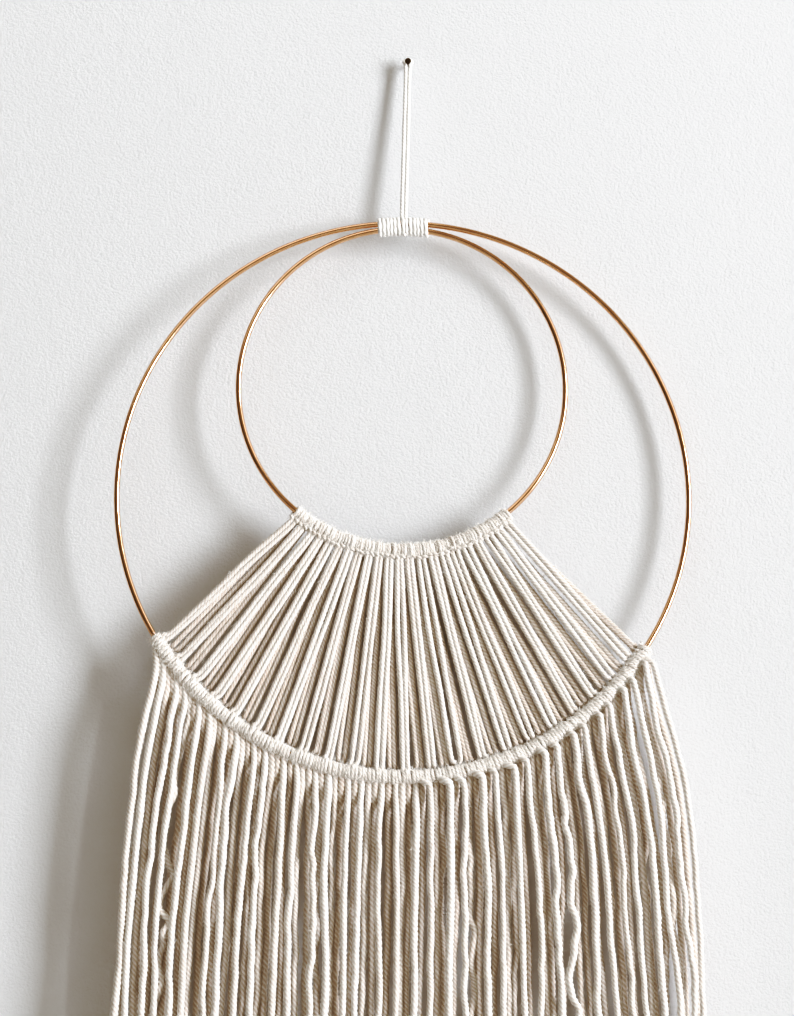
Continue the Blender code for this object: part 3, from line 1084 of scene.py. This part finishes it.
# Wall paint, rolled: dead matt, with the fine stipple of the roller and soft uneven patches.
def wallMaterial():
    made, tree, shader = startMaterial(
        "matt emulsion paint, rolled", {"Base Color": linear(stage["wall"]), "Roughness": 0.85}
    )
    place = addNode(tree, "ShaderNodeTexCoord")
    stipple = addNode(
        tree,
        "ShaderNodeTexNoise",
        {"Scale": 1 / (stage["stipple"] * mm), "Detail": 5.0},
        {"Vector": place.outputs["Object"]},
    )
    patches = addNode(
        tree,
        "ShaderNodeTexNoise",
        {"Scale": 1 / (stage["patch"] * mm), "Detail": 4.0},
        {"Vector": place.outputs["Object"]},
    )
    height = addNode(
        tree,
        "ShaderNodeMath",
        {"operation": "MULTIPLY_ADD", 1: stage["patchShare"]},
        {0: patches.outputs["Fac"], 2: stipple.outputs["Fac"]},
    )
    bump = addNode(
        tree,
        "ShaderNodeBump",
        {"Strength": 0.65, "Distance": stage["stippleHigh"] * mm},
        {"Height": height.outputs[0]},
    )
    tree.links.new(bump.outputs["Normal"], shader.inputs["Normal"])
    side = addNode(tree, "ShaderNodeNewGeometry")
    clear = addNode(tree, "ShaderNodeBsdfTransparent")
    mixed = addNode(
        tree,
        "ShaderNodeMixShader",
        links={0: side.outputs["Backfacing"], 1: shader.outputs[0], 2: clear.outputs[0]},
    )
    tree.links.new(mixed.outputs[0], tree.nodes["Material Output"].inputs["Surface"])
    return made


def floorMaterial():
    # Stone, honed: pale and even, with hardly any shine
    settings = {"Base Color": linear(stage["floor"]), "Roughness": 0.7}
    return startMaterial("plain pale floor, honed", settings)[0]


def addSheet(name, corners, material):
    mesh = bpy.data.meshes.new(name)
    mesh.from_pydata(corners, [], [(0, 1, 2, 3)])
    mesh.materials.append(material)
    made = bpy.data.objects.new(name, mesh)
    made.rotation_euler.z = -stage["wallTurn"]
    bpy.context.scene.collection.objects.link(made)


def buildStage():
    half, floorZ = stage["wide"] / 2 * mm, stage["floorZ"] * mm
    wallY, top = stage["wallY"] * mm, floorZ + stage["high"] * mm
    upright = ((-half, floorZ), (half, floorZ), (half, top), (-half, top))
    level = ((-half, -half), (half, -half), (half, half), (-half, half))
    addSheet("wall", [(x, wallY, z) for x, z in upright], wallMaterial())
    addSheet("floor", [(x, y, floorZ) for x, y in level], floorMaterial())


lights = {
    # a tall window on the right with a fainter one above it, and a weak light from the ceiling
    "window": {
        "place": (5350, -3690, -180),
        "aim": (0, 0, -400),
        "size": (1400, 5200),
        "power": 545,
        "colour": "#fafbff",
    },
    "transom": {
        "place": (4500, -3100, 2800),
        "aim": (0, 0, -400),
        "size": (3000, 3000),
        "power": 40,
        "colour": "#fffefb",
    },
    "ceiling": {
        "place": (-700, -1300, 1500),
        "aim": (-200, 0, 100),
        "size": (1800, 1800),
        "power": 8,
        "colour": "#ffffff",
    },
}
room = {
    # daylight from all round, bright from the upper right and dim from the lower left
    "from": (0.6, -0.35, 0.72),
    "dim": 0.03,
    "dimBelow": -0.4,
    "bright": 0.36,
    "brightAbove": 0.75,
    "colour": "#f5ecdb",
}


def addLight(name, look):
    light = bpy.data.lights.new(name, "AREA")
    light.shape = "RECTANGLE"
    light.size, light.size_y = [side * mm for side in look["size"]]
    light.energy = look["power"]
    light.color = linear(look["colour"])[:3]
    made = bpy.data.objects.new(name, light)
    made.location = Vector(look["place"]) * mm
    beam = Vector(look["aim"]) - Vector(look["place"])
    made.rotation_euler = beam.to_track_quat("-Z", "Y").to_euler()
    bpy.context.scene.collection.objects.link(made)


def buildLights():
    for name, look in lights.items():
        addLight(name, look)
    world = bpy.data.worlds.new("room")
    world.use_nodes = True
    tree = world.node_tree
    background = tree.nodes["Background"]
    background.inputs["Color"].default_value = linear(room["colour"])
    place = addNode(tree, "ShaderNodeTexCoord")
    across = addNode(
        tree,
        "ShaderNodeVectorMath",
        {"operation": "DOT_PRODUCT", 1: room["from"]},
        {0: place.outputs["Generated"]},
    )
    strength = addNode(
        tree,
        "ShaderNodeMapRange",
        {
            "From Min": room["dimBelow"],
            "From Max": room["brightAbove"],
            "To Min": room["dim"],
            "To Max": room["bright"],
        },
        {"Value": across.outputs["Value"]},
    )
    tree.links.new(strength.outputs["Result"], background.inputs["Strength"])
    bpy.context.scene.world = world


# The photograph's contrast: whites that clip early, and darks that turn to a warm brown. Curves 0 to
# 2 are red, green and blue, and 3 is all of them.
tones = {
    0: ((0.1, 0.115), (0.25, 0.262), (0.5, 0.5), (0.8, 0.8)),
    1: ((0.1, 0.088), (0.25, 0.25), (0.5, 0.503), (0.8, 0.805)),
    2: ((0.1, 0.062), (0.25, 0.24), (0.5, 0.503), (0.8, 0.805)),
    3: ((0.12, 0.08), (0.25, 0.235), (0.35, 0.375), (0.6, 0.71), (0.8, 0.95)),
}


def buildTones():
    view = bpy.context.scene.view_settings
    view.view_transform = "Standard"
    view.use_curve_mapping = True
    for number, curve in tones.items():
        for dark, bright in curve:
            view.curve_mapping.curves[number].points.new(dark, bright)
    view.curve_mapping.update()


# Camera: fitted to points on both hoops in the photograph
cameraView = {
    "place": (-34.7, -1454.5, -580.3),
    "forward": (0.0213, 0.9749, 0.2215),
    "roll": 0.012,
    "lens": 99.2,  # on the 36 mm of the frame's tall side
    "clip": (0.05, 50),  # metres
}


def buildCamera():
    view = cameraView
    camera = bpy.data.cameras.new("camera")
    camera.lens = view["lens"]
    camera.clip_start, camera.clip_end = view["clip"]
    forward = Vector(view["forward"]).normalized()
    level = forward.cross(Vector((0, 0, 1))).normalized()
    upright = level.cross(forward)
    right = level * math.cos(view["roll"]) + upright * math.sin(view["roll"])
    up = right.cross(forward)
    turn = Matrix((right, up, -forward)).transposed().to_4x4()
    made = bpy.data.objects.new("camera", camera)
    made.matrix_world = Matrix.Translation(Vector(view["place"]) * mm) @ turn
    bpy.context.scene.collection.objects.link(made)
    bpy.context.scene.camera = made


buildStage()
buildLights()
buildTones()
buildCamera()
print("stage, lights and camera done")
